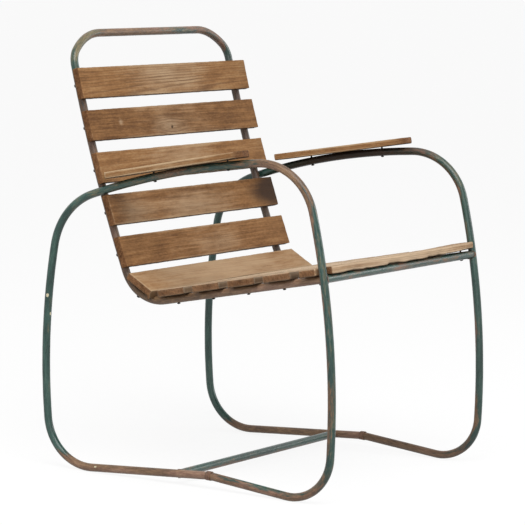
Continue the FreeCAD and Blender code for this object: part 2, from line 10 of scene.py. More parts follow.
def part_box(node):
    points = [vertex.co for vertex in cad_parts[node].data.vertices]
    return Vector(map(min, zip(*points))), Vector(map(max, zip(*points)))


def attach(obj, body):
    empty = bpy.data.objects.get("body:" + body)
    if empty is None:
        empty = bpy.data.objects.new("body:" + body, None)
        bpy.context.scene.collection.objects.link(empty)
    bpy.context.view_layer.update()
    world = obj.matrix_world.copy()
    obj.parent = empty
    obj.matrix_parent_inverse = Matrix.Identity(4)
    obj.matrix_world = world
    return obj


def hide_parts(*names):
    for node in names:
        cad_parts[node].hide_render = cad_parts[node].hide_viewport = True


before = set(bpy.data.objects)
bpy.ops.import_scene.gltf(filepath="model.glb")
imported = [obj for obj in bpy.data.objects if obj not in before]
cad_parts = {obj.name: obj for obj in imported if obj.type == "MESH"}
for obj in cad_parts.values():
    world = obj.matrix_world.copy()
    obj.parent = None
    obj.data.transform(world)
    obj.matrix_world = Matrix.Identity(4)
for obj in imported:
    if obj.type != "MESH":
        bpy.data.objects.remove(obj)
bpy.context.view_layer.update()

# Looks of the garden armchair: round bent tubes with old green paint and rust, worn planks
# with grain of their own, slotted screws and lumpy welds. Metres, in the frame of the CAD
# model. "right" is the sitter's right, at -X, the near side in the photograph.

ACROSS = Vector((1, 0, 0))
UP = Vector((0, 0, 1))

# What the meshes keep for each vertex, by the names that the materials read
TUBE_MARKS = ("rust", "chalk", "grime_and_shade", "chip")
WOOD_MARKS = ("tone", "end", "worn", "stain_and_shade", "saw", "lined", "pale")


# Shader trees


def srgb(*values):
    """Linear colour of an sRGB colour that is given in 0 to 255."""
    shares = [value / 255 for value in values]
    linear = [s / 12.92 if s <= 0.04045 else ((s + 0.055) / 1.055) ** 2.4 for s in shares]
    return (*linear, 1)


class Shader:
    """Nodes of a material or world, added by short calls that return output sockets."""

    def __init__(self, owner, surface="Principled BSDF"):
        owner.use_nodes = True
        self.owner = owner
        self.tree = owner.node_tree
        self.surface = self.tree.nodes[surface]

    def put(self, socket, value):
        """Give a socket a constant, or link it to another node's output."""
        if isinstance(value, bpy.types.NodeSocket):
            self.tree.links.new(value, socket)
        else:
            socket.default_value = value

    def add(self, kind, inputs, **settings):
        made = self.tree.nodes.new("ShaderNode" + kind)
        for name, value in settings.items():
            setattr(made, name, value)
        for name, value in inputs.items():
            self.put(made.inputs[name], value)
        return made

    def place(self):
        """Coordinates in metres, as the vertices have them."""
        return self.add("TexCoord", {}).outputs["Object"]

    def value(self, name):
        """Number that the mesh keeps for each vertex."""
        return self.add("Attribute", {}, attribute_name=name).outputs["Fac"]

    def vector(self, name):
        return self.add("Attribute", {}, attribute_name=name).outputs["Vector"]

    def scaled(self, vector, factors):
        return self.add("VectorMath", {0: vector, 1: factors}, operation="MULTIPLY").outputs[0]

    def noise(self, vector, scale, detail, roughness=0.6):
        made = self.add("TexNoise", {
            "Vector": vector, "Scale": scale, "Detail": detail, "Roughness": roughness})
        return made.outputs["Fac"]

    def wave(self, vector, inputs, **settings):
        return self.add("TexWave", {"Vector": vector, **inputs}, **settings).outputs["Fac"]

    def times(self, first, second):
        return self.add("Math", {0: first, 1: second}, operation="MULTIPLY").outputs[0]

    def weighted(self, *terms, base=0.0):
        """Sum of a base and of sockets, each times its weight."""
        total = base
        for socket, weight in terms:
            made = self.add("Math", {0: socket, 1: weight, 2: total}, operation="MULTIPLY_ADD")
            total = made.outputs[0]
        return total

    def step(self, value, low, high):
        """0 below low, 1 above high and smooth between."""
        made = self.add("MapRange", {"Value": value, "From Min": low, "From Max": high},
                        interpolation_type="SMOOTHSTEP")
        return made.outputs["Result"]

    def ramp(self, value, stops):
        """Colours, given in sRGB, at places from 0 to 1."""
        made = self.add("ValToRGB", {"Fac": value})
        elements = made.color_ramp.elements
        while len(elements) < len(stops):
            elements.new(0.5)
        for element, (position, colour) in zip(elements, stops):
            element.position = position
            element.color = srgb(*colour)
        return made.outputs["Color"]

    def mix(self, share, first, second):
        """Blend of two colours. Some sockets of this node share a name, so numbers pick them."""
        made = self.add("Mix", {0: share, 6: first, 7: second}, data_type="RGBA")
        return made.outputs[2]

    def finish(self, colour, roughness, height, bump_distance):
        """Join the colour, the roughness and the relief to the surface."""
        bump = self.add("Bump", {"Height": height, "Distance": bump_distance})
        self.put(self.surface.inputs["Base Color"], colour)
        self.put(self.surface.inputs["Roughness"], roughness)
        self.put(self.surface.inputs["Normal"], bump.outputs["Normal"])
        return self.owner


# Materials


def tube_paint():
    """Old green paint on iron, worn through to brown rust where the mesh says so."""
    grime_and_shade_colour = srgb(32, 24, 19)
    chip_colour = srgb(206, 196, 164)
    shader = Shader(bpy.data.materials.new("painted_tube"))
    rust, chalk, grime_and_shade, chip = [shader.value(mark) for mark in TUBE_MARKS]
    skin = shader.vector("skin")
    zones = shader.noise(skin, 15, detail=3)
    patches = shader.noise(skin, 38, detail=5)
    flakes = shader.noise(skin, 64, detail=4)
    blots = shader.noise(skin, 170, detail=5, roughness=0.65)
    specks = shader.noise(skin, 620, detail=3)

    paint = shader.ramp(shader.weighted((zones, 0.3), (patches, 0.4), (blots, 0.3)), [
        (0.36, (13, 42, 38)), (0.47, (31, 65, 58)),
        (0.56, (52, 86, 77)), (0.68, (88, 111, 98))])
    chalky = shader.ramp(shader.weighted((patches, 0.3), (blots, 0.5), (specks, 0.2)), [
        (0.36, (66, 69, 50)), (0.50, (108, 99, 71)), (0.66, (150, 133, 97))])
    tint = shader.weighted(
        (zones, 0.2), (patches, 0.3), (blots, 0.4), (specks, 0.1), (rust, 0.16))
    brown = shader.ramp(tint, [
        (0.42, (52, 34, 23)), (0.56, (92, 68, 48)),
        (0.65, (122, 94, 68)), (0.76, (164, 132, 98))])
    red = shader.ramp(tint, [
        (0.42, (60, 36, 27)), (0.56, (102, 72, 57)),
        (0.65, (132, 100, 81)), (0.76, (160, 130, 107))])
    bare = shader.mix(shader.step(zones, 0.44, 0.58), brown, red)

    chalked = shader.step(shader.weighted((chalk, 1), (flakes, 1), (blots, 0.4)), 1.05, 1.36)
    worn = shader.step(
        shader.weighted((rust, 1), (patches, 1.2), (blots, 0.5), (specks, 0.15)), 1.28, 1.56)
    chipped = shader.step(shader.weighted((chip, 1), (blots, 0.5)), 0.72, 0.84)
    # The grime mark darkens the paint: dirt, and painted shade under the left arm's board and on
    # the uprights behind the slats.
    dirt_and_shade = shader.weighted((grime_and_shade, 1), (shader.times(grime_and_shade, patches), 0.9))
    colour = shader.mix(chalked, paint, chalky)
    colour = shader.mix(worn, colour, bare)
    colour = shader.mix(dirt_and_shade, colour, grime_and_shade_colour)
    colour = shader.mix(chipped, colour, chip_colour)

    roughness = shader.weighted((worn, 0.16), (blots, 0.25), base=0.17)
    height = shader.weighted((worn, -0.5), (specks, 0.35), (blots, 0.6))
    return shader.finish(colour, roughness, height, bump_distance=0.0005)


def weld_rust():
    """Rusted weld metal with leftovers of paint."""
    paint_colour = srgb(70, 84, 76)
    shader = Shader(bpy.data.materials.new("weld_metal"))
    place = shader.place()
    lumps = shader.noise(place, 210, detail=5)
    specks = shader.noise(place, 800, detail=3)
    rust = shader.ramp(shader.weighted((lumps, 0.6), (specks, 0.4)), [
        (0.34, (74, 50, 38)), (0.5, (110, 80, 62)), (0.66, (140, 108, 84))])
    left = shader.step(shader.noise(place, 90, detail=3), 0.58, 0.7)
    colour = shader.mix(left, rust, paint_colour)
    roughness = shader.weighted((specks, 0.3), base=0.5)
    height = shader.weighted((lumps, 0.7), (specks, 0.4))
    return shader.finish(colour, roughness, height, bump_distance=0.0006)


def screw_metal():
    """Blackened steel with brown bloom."""
    shader = Shader(bpy.data.materials.new("screw_steel"))
    place = shader.place()
    bloom = shader.noise(place, 320, detail=4)
    fine = shader.noise(place, 1500, detail=2)
    colour = shader.ramp(shader.weighted((bloom, 0.7), (fine, 0.3)), [
        (0.35, (12, 11, 11)), (0.52, (27, 23, 21)), (0.7, (62, 46, 36))])
    roughness = shader.weighted((bloom, 0.5), base=0.5)
    shader.put(shader.surface.inputs["Metallic"], 0.35)
    return shader.finish(colour, roughness, fine, bump_distance=0.0002)


def plank_wood(name, lines, body, light, worn_colour):
    """Weathered hardwood. Grain follows the plank's own coordinates, which the mesh keeps."""
    pale_colour = srgb(224, 199, 169)
    growth_colour = srgb(84, 55, 33)
    stain_and_shade_colour = srgb(44, 27, 15)
    pore_colour = srgb(84, 58, 38)
    saw_colour = srgb(96, 66, 42)
    shader = Shader(bpy.data.materials.new(name))
    tone, end, worn, stain_and_shade, saw, lined, pale = [shader.value(mark) for mark in WOOD_MARKS]
    grain = shader.vector("grain")

    def grained(along, across, detail, roughness):
        """Noise with one scale along the grain and another across it."""
        return shader.noise(shader.scaled(grain, (along, across, across)), 1, detail, roughness)

    # Figure of the wood
    rings = shader.wave(shader.scaled(grain, (0.05, 1, 1)), {
        "Scale": 40, "Distortion": 9, "Detail": 4,
        "Detail Scale": 0.6, "Detail Roughness": 0.6}, wave_type="RINGS", rings_direction="X")
    fibres = grained(14, 620, detail=4, roughness=0.65)
    streaks = grained(5, 170, detail=5, roughness=0.65)
    clouds = grained(13, 42, detail=5, roughness=0.62)
    blotches = grained(110, 260, detail=4, roughness=0.6)
    figure = shader.weighted(
        (rings, 0.04), (fibres, 0.22), (streaks, 0.28), (clouds, 0.28), (blotches, 0.2),
        (tone, 1))
    colour = shader.ramp(figure, [(0.38, lines), (0.51, body), (0.64, light)])

    # Worn and bleached places
    wearing = shader.step(shader.weighted((worn, 1), (streaks, 0.5), (clouds, 0.6)), 0.75, 1.35)
    colour = shader.mix(shader.times(wearing, 0.75), colour, worn_colour)
    colour = shader.mix(shader.times(wearing, pale), colour, pale_colour)

    # Thin lines of growth
    growth = shader.wave(shader.scaled(grain, (0.06, 1, 1)), {
        "Scale": 78, "Distortion": 4, "Detail": 3,
        "Detail Scale": 0.9, "Detail Roughness": 0.55}, wave_type="RINGS", rings_direction="X")
    thin = shader.times(shader.step(growth, 0.55, 0.95), shader.step(streaks, 0.3, 0.6))
    colour = shader.mix(shader.times(thin, lined), colour, growth_colour)

    # Stains and painted shade, and pores over them
    staining_and_shade = shader.step(shader.weighted((stain_and_shade, 1), (clouds, 0.7), (streaks, 0.4)), 0.8, 1.5)
    colour = shader.mix(shader.times(staining_and_shade, 0.92), colour, stain_and_shade_colour)
    between_pores = shader.step(shader.weighted((fibres, 1), (streaks, 0.25)), 0.38, 0.50)
    colour = shader.mix(between_pores, shader.mix(0.28, colour, pore_colour), colour)

    # End grain, dark of its own and darker still as painted shade on the plank ends, and marks of
    # the saw
    end_grain = shader.noise(grain, 420, detail=4, roughness=0.65)
    end_grain_and_shade = shader.ramp(shader.weighted((rings, 0.05), (end_grain, 0.5), (clouds, 0.45)), [
        (0.36, (66, 41, 25)), (0.5, (106, 72, 46)), (0.64, (140, 99, 66))])
    colour = shader.mix(shader.times(end, 0.9), colour, end_grain_and_shade)
    cuts = shader.wave(grain, {"Scale": 88, "Distortion": 2.5, "Detail": 2},
                       wave_type="BANDS", bands_direction="X")
    sawn = shader.times(saw, shader.step(cuts, 0.62, 0.9))
    colour = shader.mix(shader.times(sawn, 0.55), colour, saw_colour)

    roughness = shader.weighted((fibres, 0.25), (wearing, 0.12), base=0.5)
    height = shader.weighted((fibres, 0.5), (streaks, 0.5), (thin, -0.3), (sawn, -0.5))
    shader.put(shader.surface.inputs["Specular IOR Level"], 0.12)
    return shader.finish(colour, roughness, height, bump_distance=0.0006)


PAINT = tube_paint()
WELD = weld_rust()
SCREW = screw_metal()
SLAT_WOOD = plank_wood("slat_wood", lines=(97, 65, 36), body=(137, 98, 60), light=(163, 127, 87),
                       worn_colour=srgb(176, 151, 122))
ARM_WOOD = plank_wood("arm_wood", lines=(98, 64, 37), body=(146, 107, 70), light=(174, 139, 101),
                      worn_colour=srgb(200, 174, 140))


# Meshes


def put_in_scene(name, data):
    made = bpy.data.objects.new(name, data)
    bpy.context.scene.collection.objects.link(made)
    return made


def piece(name, vertices, faces, material, node):
    """Smooth mesh that stands for a CAD node."""
    mesh = bpy.data.meshes.new(name)
    mesh.from_pydata(vertices, [], faces)
    mesh.validate()
    mesh.polygons.foreach_set("use_smooth", [True] * len(mesh.polygons))
    mesh.materials.append(material)
    made = put_in_scene(name, mesh)
    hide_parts(node)
    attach(made, "root")
    return made


def keep_vectors(made, name, vectors):
    """Keep a named vector for each vertex."""
    attribute = made.data.attributes.new(name, "FLOAT_VECTOR", "POINT")
    attribute.data.foreach_set("vector", np.asarray(vectors, np.float32).ravel())


def keep_marks(made, names, rows):
    """Keep a row of named numbers for each vertex, for the material to read."""
    for name, values in zip(names, np.asarray(rows, np.float32).T):
        attribute = made.data.attributes.new(name, "FLOAT", "POINT")
        attribute.data.foreach_set("value", np.ascontiguousarray(values))


def relief(point, scale):
    """Smooth noise from 0 to 1 at a point."""
    return 0.5 + 0.5 * noise.noise(Vector(point) * scale)


def middle_of(node):
    low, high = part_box(node)
    return (low + high) / 2


# Sizes of the bent tubes, as in the CAD model. Side views have X = 0, and Y from a datum near the
# middle of the loops. A bow is the radius of a run that is only slightly bent, and a rise goes
# up an upright from where it passes the arms.

bar_low, bar_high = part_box("floor_crossbar")
TUBE_R = (bar_high.z - bar_low.z) / 2
LOOP_X = middle_of("left_side_loop").x
RAIL_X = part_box("seat_back_frame")[1].x - TUBE_R

Bend = namedtuple("Bend", "centre radius")


def loop_bend(y, z, radius):
    return Bend(Vector((0, y, z)), radius)


def floor_bend(y, radius):
    return loop_bend(y, TUBE_R + radius, radius)


FRONT_FOOT = floor_bend(-0.247, 0.086)
REAR_FOOT = floor_bend(0.217, 0.102)
REAR_TOP = loop_bend(0.179, 0.4235, 0.135)
FRONT_LEG_BOW = 1.62
REAR_LEG_BOW = 1.33
RUNNER_JOINT = Vector((0, -0.065, 0.026))
RUNNER_GAP = 0.002

BACK_CROSS_Y = 0.21
BACK_HEADING = radians(90 - 19.5)
BACK_BOW = 3.4
SEAT_HEADING = radians(-11.7)
SEAT_BEND = 0.082
BEND_RISE = -0.163
TOP_TUBE_RISE = 0.318
CORNER_TIGHT = 0.04
CORNER_LOOSE = 0.14
CORNER_SPLIT = radians(50)


# Side view of the loops


def left_of(direction):
    """Direction turned a quarter turn to the left, seen from +X."""
    return ACROSS.cross(direction)


def heading(angle):
    """Direction that points to the rear and is turned up by an angle."""
    return Vector((0, cos(angle), sin(angle)))


def tangent_point(point, bend, side):
    """Where the line from a point touches a bend, on its left (1) or right (-1)."""
    line = bend.centre - point
    ahead = line.normalized()
    back_part = bend.radius ** 2 / line.length
    side_part = sqrt(bend.radius ** 2 - back_part ** 2)
    return bend.centre - ahead * back_part + left_of(ahead) * (side * side_part)


def bow_centre(bend, next_bend, bow):
    """Centre of the bow that runs smoothly from one bend to the next."""
    reach = bow - bend.radius
    next_reach = bow - next_bend.radius
    line = next_bend.centre - bend.centre
    ahead = line.normalized()
    along = (line.length ** 2 + reach ** 2 - next_reach ** 2) / (2 * line.length)
    aside = sqrt(reach ** 2 - along ** 2)
    return bend.centre + ahead * along - left_of(ahead) * aside


def touch(bend, centre):
    """Point where a bend passes into the bow round a centre."""
    return bend.centre + (bend.centre - centre).normalized() * bend.radius


RUNNER_FRONT = tangent_point(RUNNER_JOINT, FRONT_FOOT, 1)
RUNNER_REAR = tangent_point(RUNNER_JOINT, REAR_FOOT, -1)
REAR_LEG_CENTRE = bow_centre(REAR_TOP, REAR_FOOT, REAR_LEG_BOW)


def joint_end(runner):
    """End of the tube at the runner joint, towards one half of the runner."""
    return RUNNER_JOINT + (runner - RUNNER_JOINT).normalized() * (RUNNER_GAP / 2)


class Loop:
    """Side loop, bent by hand, with a front arm bend and an arm of its own."""

    def __init__(self, x, front_top, arm_bow):
        self.x = x
        self.front_top = front_top
        self.arm_bow = arm_bow
        self.leg_centre = bow_centre(FRONT_FOOT, front_top, FRONT_LEG_BOW)
        self.arm_centre = bow_centre(front_top, REAR_TOP, arm_bow)

    def arm_point(self, y):
        """Point on the arm's axis in the side view."""
        lean = asin((y - self.arm_centre.y) / self.arm_bow)
        return self.arm_centre + Vector((0, sin(lean), cos(lean))) * self.arm_bow

    def route(self):
        """End of each stretch from the runner joint on, and what it bends round, if anything."""
        leg, arm, rear_leg = self.leg_centre, self.arm_centre, REAR_LEG_CENTRE
        return [
            (RUNNER_FRONT, None),
            (touch(FRONT_FOOT, leg), FRONT_FOOT.centre),
            (touch(self.front_top, leg), leg),
            (touch(self.front_top, arm), self.front_top.centre),
            (touch(REAR_TOP, arm), arm),
            (touch(REAR_TOP, rear_leg), REAR_TOP.centre),
            (touch(REAR_FOOT, rear_leg), rear_leg),
            (RUNNER_REAR, REAR_FOOT.centre),
            (joint_end(RUNNER_REAR), None),
        ]


RIGHT_LOOP = Loop(-LOOP_X, front_top=loop_bend(-0.165, 0.522, 0.116), arm_bow=1.65)
LEFT_LOOP = Loop(LOOP_X, front_top=loop_bend(-0.165, 0.511, 0.1195), arm_bow=1.415)

# The origin lies below the middle of the loops, between their bowed front and rear legs
FOREMOST = min(RIGHT_LOOP.leg_centre.y, LEFT_LOOP.leg_centre.y) - FRONT_LEG_BOW
REARMOST = REAR_LEG_CENTRE.y + REAR_LEG_BOW
DATUM_Y = -(FOREMOST + REARMOST) / 2


def in_plane(point, x):
    """Point of the side view in a plane X of the frame."""
    return Vector((x, point.y + DATUM_Y, point.z))


# Tube lines

RING_STEP = 0.004


def walk(start, route):
    """Points along a route, and how many stretches of it lie before each."""
    points, places = [Vector(start)], [0.0]
    for number, (end, centre) in enumerate(route):
        first = points[-1].copy()
        if centre is None:
            count = max(2, round((end - first).length / RING_STEP))
            steps = [first.lerp(end, k / count) for k in range(1, count + 1)]
        else:
            arm, end_arm = first - centre, end - centre
            turn = arm.angle(end_arm)
            axis = arm.cross(end_arm).normalized()
            count = max(2, round(turn * arm.length / RING_STEP))
            steps = [centre + Quaternion(axis, turn * k / count) @ arm for k in range(1, count + 1)]
        points += steps
        places += [number + (k + 1) / len(steps) for k in range(len(steps))]
    return points, places


def loop_line(loop):
    """Line of a whole loop, from the runner joint round to the joint again."""
    route = [(in_plane(end, loop.x), None if centre is None else in_plane(centre, loop.x))
             for end, centre in loop.route()]
    return walk(in_plane(joint_end(RUNNER_FRONT), loop.x), route)


arm_crossing = (RIGHT_LOOP.arm_point(BACK_CROSS_Y) + LEFT_LOOP.arm_point(BACK_CROSS_Y)) / 2
UPRIGHT_CENTRE = arm_crossing + left_of(heading(BACK_HEADING)) * BACK_BOW


def upright(rise):
    """Point of the side view on an upright, and the upright's direction there."""
    ahead = heading(BACK_HEADING + rise / BACK_BOW)
    return UPRIGHT_CENTRE - left_of(ahead) * BACK_BOW, ahead


def frame_route():
    """Right half of the frame: rail, seat bend, upright, the two arcs of a corner, top tube."""
    bend_top, bend_ahead = upright(BEND_RISE)
    bend_centre = bend_top + left_of(bend_ahead) * SEAT_BEND
    rail_rear = bend_centre - left_of(heading(SEAT_HEADING)) * SEAT_BEND
    tight_up = CORNER_TIGHT * sin(CORNER_SPLIT)
    tight_in = CORNER_TIGHT * (1 - cos(CORNER_SPLIT))
    loose_up = CORNER_LOOSE * (1 - sin(CORNER_SPLIT))
    loose_in = CORNER_LOOSE * cos(CORNER_SPLIT)
    upright_top, up = upright(TOP_TUBE_RISE - tight_up - loose_up)
    corner = in_plane(upright_top, -RAIL_X)
    split = corner + up * tight_up + ACROSS * tight_in
    corner_end = split + up * loose_up + ACROSS * loose_in
    return [
        (in_plane(rail_rear, -RAIL_X), None),
        (in_plane(bend_top, -RAIL_X), in_plane(bend_centre, -RAIL_X)),
        (corner, in_plane(UPRIGHT_CENTRE, -RAIL_X)),
        (split, corner + ACROSS * CORNER_TIGHT),
        (corner_end, corner_end - up * CORNER_LOOSE),
        (Vector((0, corner_end.y, corner_end.z)), None),
    ]


def frame_line(front):
    """Line of the whole frame, from the right rail's front end to the left rail's."""
    route = frame_route()
    points, places = walk((-RAIL_X, front.y, front.z), route)
    mirrored = [Vector((-p.x, p.y, p.z)) for p in reversed(points[:-1])]
    whole = 2 * len(route)
    return points + mirrored, places + [whole - p for p in reversed(places[:-1])]


def straight_line(point):
    """Line across the chair, between the planes of the loops."""
    ends = [Vector((side * LOOP_X, point.y, point.z)) for side in (-1, 1)]
    return walk(ends[0], [(ends[1], None)])


def line_direction(line, point):
    """Direction of a line where it passes nearest to a point."""
    points = line[0]
    nearest = min(range(1, len(points) - 1), key=lambda k: (points[k] - point).length)
    return (points[nearest + 1] - points[nearest - 1]).normalized()


# Tubes

TUBE_SIDES = 24
COPE_GAP = 0.0003

# The paint's pattern is drawn out along a tube, and begins further on for a longer name
PATTERN_ALONG = 0.4
PATTERN_ROUND = 2
PATTERN_SHIFT = 1.7

# Shallow dents, pits in the rust, and how both fade towards a tube's top, where wood lies
DENT_DEPTH, DENT_SCALE = 0.00022, 70
PIT_DEPTH, PIT_SCALE = 0.00030, 260
TOP_FADE, TOP_FADE_SLOPE = 1.2, 1.5

# More rust low down, under the tubes, and on the rear of those in front. Darker under all.
DAMP_RUST, DAMP_TURN, DAMP_HEIGHT = 0.35, 0.4, 0.17
REAR_RUST, REAR_TURN, FRONT_LEGS_Y = 0.25, 0.45, -0.2
DARKER_BELOW = 0.22


def sections(points):
    """Direction of a tube at each point and two square to it, carried along without twist."""
    frames = []
    side = None
    for before, after in zip(points[:1] + points, points[1:] + points[-1:]):
        along = (after - before).normalized()
        if side is None:
            side = ACROSS if abs(along.x) < 0.5 else UP
        side = (side - along * side.dot(along)).normalized()
        frames.append((along, side, along.cross(side)))
    return frames


def coped(vertex, centre, along, other):
    """Slide an end vertex along its tube until it meets the skin of another tube."""
    level = along.cross(other).normalized()
    aside = (vertex - centre).dot(level)
    reach = sqrt(max(0.0, (TUBE_R + COPE_GAP) ** 2 - aside ** 2))
    return vertex - along * (vertex - centre).dot(along) + along * reach


def hollow_at(skin, out, rust):
    """Depth of dents and pits at a point of the skin that faces out."""
    depth = DENT_DEPTH * relief(skin, DENT_SCALE) + PIT_DEPTH * rust * relief(skin, PIT_SCALE)
    return depth * min(1.0, max(0.0, TOP_FADE - TOP_FADE_SLOPE * out.z))


def rust_at(point, out, rust):
    """Rust of the tube at a point, with more of it where the tube stays damp."""
    damp = max(0.0, DAMP_TURN - out.z) * max(0.0, 1 - point.z / DAMP_HEIGHT)
    behind = max(0.0, out.y + REAR_TURN) if point.y < FRONT_LEGS_Y else 0.0
    return min(1.0, rust + DAMP_RUST * damp + REAR_RUST * behind)


def chip_at(skin, chips):
    """1 in the middle of a chip in the paint, 0 outside. chips has rows of (middle, size)."""
    near = [max(0.0, 1 - (skin - Vector(middle)).length / size) for middle, size in chips]
    return max(near, default=0.0)


def ring_faces(count):
    """Faces between rings of vertices that follow each other."""
    faces = []
    for low in range(0, (count - 1) * TUBE_SIDES, TUBE_SIDES):
        high = low + TUBE_SIDES
        for k in range(TUBE_SIDES):
            following = (k + 1) % TUBE_SIDES
            faces.append((low + k, low + following, high + following, high + k))
    return faces


def tube(name, line, wear, copes=None, chips=()):
    """Round tube along a line. copes holds the axes of the tubes at its ends.

    wear has rows of (place, rust, chalk, grime and painted shade), with places counted in stretches
    of the line.
    """
    points, places = line
    last = len(points) - 1
    rows = np.array(wear)
    rusts, chalks, grime_and_shade_levels = [np.interp(places, rows[:, 0], rows[:, k]) for k in (1, 2, 3)]
    vertices, skins, marks = [], [], []
    run = PATTERN_SHIFT * len(name)
    for number, (point, (along, side, level)) in enumerate(zip(points, sections(points))):
        run += (point - points[max(number - 1, 0)]).length
        for k in range(TUBE_SIDES):
            angle = 2 * pi * k / TUBE_SIDES
            out = side * cos(angle) + level * sin(angle)
            skin = point + out * TUBE_R
            spot = point + out * (TUBE_R - hollow_at(skin, out, rusts[number]))
            if copes and number == 0:
                spot = coped(spot, point, along, copes[0])
            elif copes and number == last:
                spot = coped(spot, point, -along, copes[1])
            girth = PATTERN_ROUND * TUBE_R
            vertices.append(spot)
            skins.append((PATTERN_ALONG * run, girth * cos(angle), girth * sin(angle)))
            marks.append((rust_at(point, out, rusts[number]), chalks[number],
                          grime_and_shade_levels[number] + DARKER_BELOW * max(0.0, -out.z), chip_at(skin, chips)))
    faces = ring_faces(len(points))
    if copes is None:
        faces.append(tuple(reversed(range(TUBE_SIDES))))
        faces.append(tuple(range(last * TUBE_SIDES, len(vertices))))
    made = piece(name + "_tube", vertices, faces, PAINT, name)
    keep_vectors(made, "skin", skins)
    keep_marks(made, TUBE_MARKS, marks)


# Wear of the tubes, with painted shade in some of the grime. A loop starts at the runner joint. The
# front floor bend begins at 1, the front leg at 2, a bend at 3, the arm at 4, a bend at 5, the rear
# leg at 6, the rear floor bend at 7 and the rear half of the runner at 8.
RIGHT_LOOP_WEAR = [
    (0, 0.65, 0.3, 0), (0.6, 0.4, 0.35, 0), (1.2, 0.4, 0.3, 0), (1.6, 0.34, 0.3, 0),
    (2, 0.3, 0.35, 0.05), (2.3, 0.36, 0.3, 0.05), (2.55, 0.4, 0.3, 0.05),
    (2.75, 0.25, 0.35, 0.05), (2.95, 0.4, 0.35, 0), (3.2, 0.65, 0.3, 0), (3.8, 0.8, 0.3, 0),
    (4.05, 0.5, 0.3, 0), (4.25, 0.35, 0.45, 0), (4.5, 0.5, 0.45, 0.05), (4.7, 0.35, 0.45, 0.05),
    (5, 0.2, 0.4, 0.05), (5.5, 0.12, 0.3, 0.05), (6, 0.1, 0.2, 0.1), (6.5, 0.12, 0.3, 0.05),
    (7, 0.12, 0.2, 0.1), (7.4, 0.1, 0.2, 0.05), (7.65, 0.6, 0.3, 0), (7.8, 1, 0.4, 0),
    (8.1, 1, 0.4, 0), (8.3, 0.75, 0.5, 0), (8.6, 0.75, 0.5, 0), (9, 0.8, 0.3, 0),
]
# On this far loop the grime is partly painted shade, most of all from 4 to 4.8 under the left arm's
# board.
LEFT_LOOP_WEAR = [
    (0, 0.8, 0.1, 0.1), (0.6, 0.65, 0.1, 0.25), (1, 0.5, 0.1, 0.25), (1.4, 0.4, 0.1, 0.15),
    (1.8, 0.15, 0.1, 0.1), (2.05, 0.35, 0.1, 0.1), (2.2, 0.05, 0.05, 0.25), (2.4, 0.3, 0.1, 0.2),
    (2.55, 0.05, 0.05, 0.2), (2.7, 0.25, 0.1, 0.15), (2.8, 0.1, 0.2, 0.15), (3.1, 0.3, 0.4, 0.1),
    (3.6, 0.35, 0.4, 0.1), (4, 0.55, 0.2, 0.45), (4.4, 0.75, 0.1, 0.8), (4.8, 0.3, 0, 0.4),
    (5, 0, 0, 0.05), (6, 0, 0.05, 0), (7, 0, 0.05, 0), (7.45, 0.05, 0.1, 0),
    (7.75, 0.65, 0.3, 0), (8.3, 1, 0.3, 0), (9, 1, 0.2, 0),
]
# The frame starts at the right rail's front end. The seat bend begins at 1, the upright at 2 and
# the top corner at 3. The top tube has its middle at 6, and the left side follows in reverse.
# Most of its grime is painted shade, on the uprights behind the slats and on the seat bends and
# left rail.
FRAME_WEAR = [
    (0, 0.95, 0.2, 0), (0.5, 0.95, 0.3, 0), (1, 0.9, 0.25, 0.05), (1.6, 0.8, 0.1, 0.15),
    (2, 0.85, 0, 0.25), (2.5, 0.85, 0, 0.25), (2.88, 0.75, 0.1, 0.3), (3, 0.25, 0.4, 0),
    (4, 0.4, 0.6, 0), (4.6, 0.4, 0.6, 0), (5.2, 0.65, 0.5, 0), (5.7, 0.8, 0.5, 0),
    (6, 0.7, 0.6, 0), (6.4, 0.5, 0.55, 0), (7.2, 0.6, 0.3, 0.05), (8.2, 0.55, 0.2, 0.2),
    (8.7, 0.15, 0.1, 0.3), (9, 0.2, 0.1, 0.4), (9.15, 0.7, 0, 0.45), (10, 0.85, 0, 0.45),
    (11, 0.55, 0.1, 0.4), (12, 0.55, 0.2, 0.3),
]
# The straight tubes run from the right loop to the left one
RAIL_WEAR = [
    (0, 0.4, 0.3, 0.05), (0.3, 0.4, 0.35, 0.05), (0.6, 0.5, 0.3, 0.05), (0.85, 0.35, 0.3, 0.05),
    (1, 0.4, 0.3, 0.1),
]
CROSSBAR_WEAR = [
    (0, 0.4, 0.3, 0.1), (0.12, 0.15, 0.3, 0.1), (0.35, 0.3, 0.3, 0.1), (0.6, 0.2, 0.3, 0.1),
    (0.9, 0.1, 0.25, 0.1), (1, 0.4, 0.3, 0.15),
]
RIGHT_CHIPS = [
    ((-0.308, 0.3255, 0.342), 0.0078), ((-0.301, 0.3209, 0.305), 0.006),
    ((-0.307, 0.200, 0.012), 0.0055), ((-0.304, 0.04, 0.626), 0.009),
]
LEFT_CHIPS = [((0.2922, 0.331, 0.285), 0.009), ((0.2922, 0.331, 0.318), 0.007)]


right_line = loop_line(RIGHT_LOOP)
left_line = loop_line(LEFT_LOOP)
rail_middle = middle_of("front_rail")
bar_middle = middle_of("floor_crossbar")
right_leg = line_direction(right_line, rail_middle - ACROSS * LOOP_X)
left_leg = line_direction(left_line, rail_middle + ACROSS * LOOP_X)
runner_axis = line_direction(left_line, bar_middle + ACROSS * LOOP_X)
tube("right_side_loop", right_line, RIGHT_LOOP_WEAR, chips=RIGHT_CHIPS)
tube("left_side_loop", left_line, LEFT_LOOP_WEAR, chips=LEFT_CHIPS)
tube("seat_back_frame", frame_line(rail_middle), FRAME_WEAR, copes=(ACROSS, ACROSS))
tube("front_rail", straight_line(rail_middle), RAIL_WEAR, copes=(right_leg, left_leg))
tube("floor_crossbar", straight_line(bar_middle), CROSSBAR_WEAR, copes=(runner_axis, runner_axis))


# Shapes of the planks

FACING_DIGITS = 3
CELL_X, CELL_Y, CELL_Z = 0.006, 0.0052, 0.0046
CROWDED = 0.6
CLIP_WEAR = 1.15
SHARP = radians(50)


